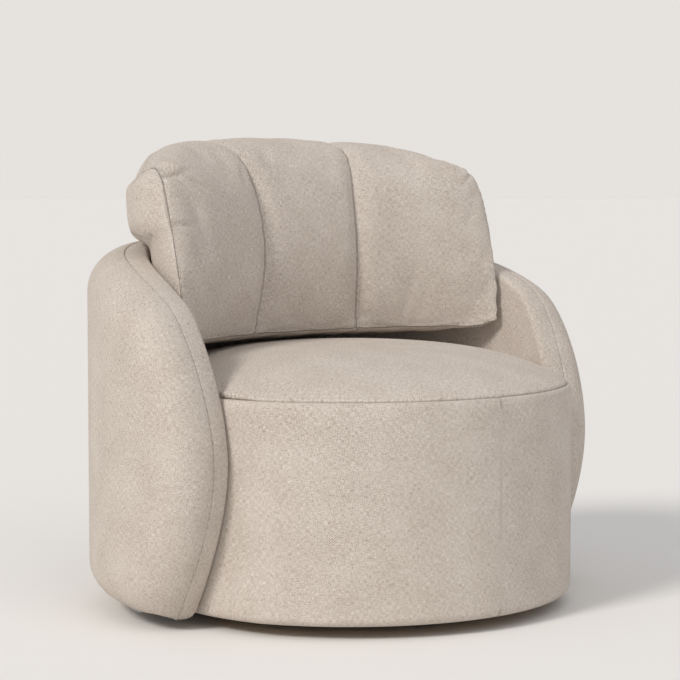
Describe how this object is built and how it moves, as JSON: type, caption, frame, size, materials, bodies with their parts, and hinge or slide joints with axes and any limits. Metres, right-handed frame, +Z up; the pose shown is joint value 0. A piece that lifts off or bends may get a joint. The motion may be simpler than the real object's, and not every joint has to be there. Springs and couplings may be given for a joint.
{
  "type": "swivel tub chair",
  "caption": "Upholstered tub chair: round padded seat in a wrap-round padded tub, loose boxed back cushion, low round swivel base.",
  "frame": {"origin": "on the floor, on the swivel's axis, midway between the seat's front and the tub's back", "axes": "+Z up; the seat faces -Y; +X is on the sitter's left"},
  "size_m": [0.86, 0.74, 0.7261],
  "materials": {
    "fabric": "woven",
    "foam": "open-cell foam",
    "plywood": "raw plywood",
    "fibreboard": "bent fibreboard",
    "webbing": "elastic webbing",
    "dust_cloth": "non-woven",
    "steel": "zinc plated",
    "base_paint": "matt powder coat",
    "glide_felt": "felt",
    "cage_plastic": "moulded"
  },
  "bodies": {
    "base": {"floor_glides": "glide_felt", "base_plate": "base_paint", "swivel_lower_plate": "steel", "base_screws": "steel"},
    "ball_ring": {"swivel_balls": "steel", "swivel_ball_cage": "cage_plastic"},
    "chair": {"swivel_upper_plate": "steel", "swivel_bolts": "steel", "bottom_board": "plywood", "foot_ring": "plywood", "seat_posts": "plywood", "seat_ring": "plywood", "seat_webbing": "webbing", "seat_wrap_board": "fibreboard", "seat_side_foam": "foam", "seat_foam": "foam", "seat_topper": "foam", "seat_top_cover": "fabric", "seat_side_cover": "fabric", "seat_seam_welt": "fabric", "dust_cover": "dust_cloth", "tub_bottom_rail": "plywood", "tub_middle_rail": "plywood", "tub_top_rail": "plywood", "tub_uprights": "plywood", "tub_back_struts": "plywood", "wing_formers": "plywood", "tub_inner_board": "fibreboard", "tub_outer_board": "fibreboard", "tub_inner_foam": "foam", "tub_outer_foam": "foam", "tub_edge_foam": "foam", "tub_inner_cover": "fabric", "tub_outer_cover": "fabric", "joining_plates": "steel", "joining_screws": "steel"},
    "back_cushion": {"cushion_fill": "foam", "cushion_front_panel": "fabric", "cushion_back_panel": "fabric", "cushion_boxing": "fabric"}
  },
  "joints": [
    {"name": "swivel", "type": "hinge", "parent": "base", "child": "chair", "pos_m": [0, 0, 0.03], "axis": [0, 0, 1], "continuous": true},
    {"name": "ball_ring_turn", "type": "hinge", "parent": "base", "child": "ball_ring", "pos_m": [0, 0, 0.03], "axis": [0, 0, 1], "continuous": true},
    {"name": "cushion_lift", "type": "slide", "parent": "chair", "child": "back_cushion", "axis": [0, 0, 1], "range_m": [0, 0.35]}
  ],
  "couplings": [
    {"joint": "ball_ring_turn", "follows": "swivel", "ratio": 0.5}
  ]
}
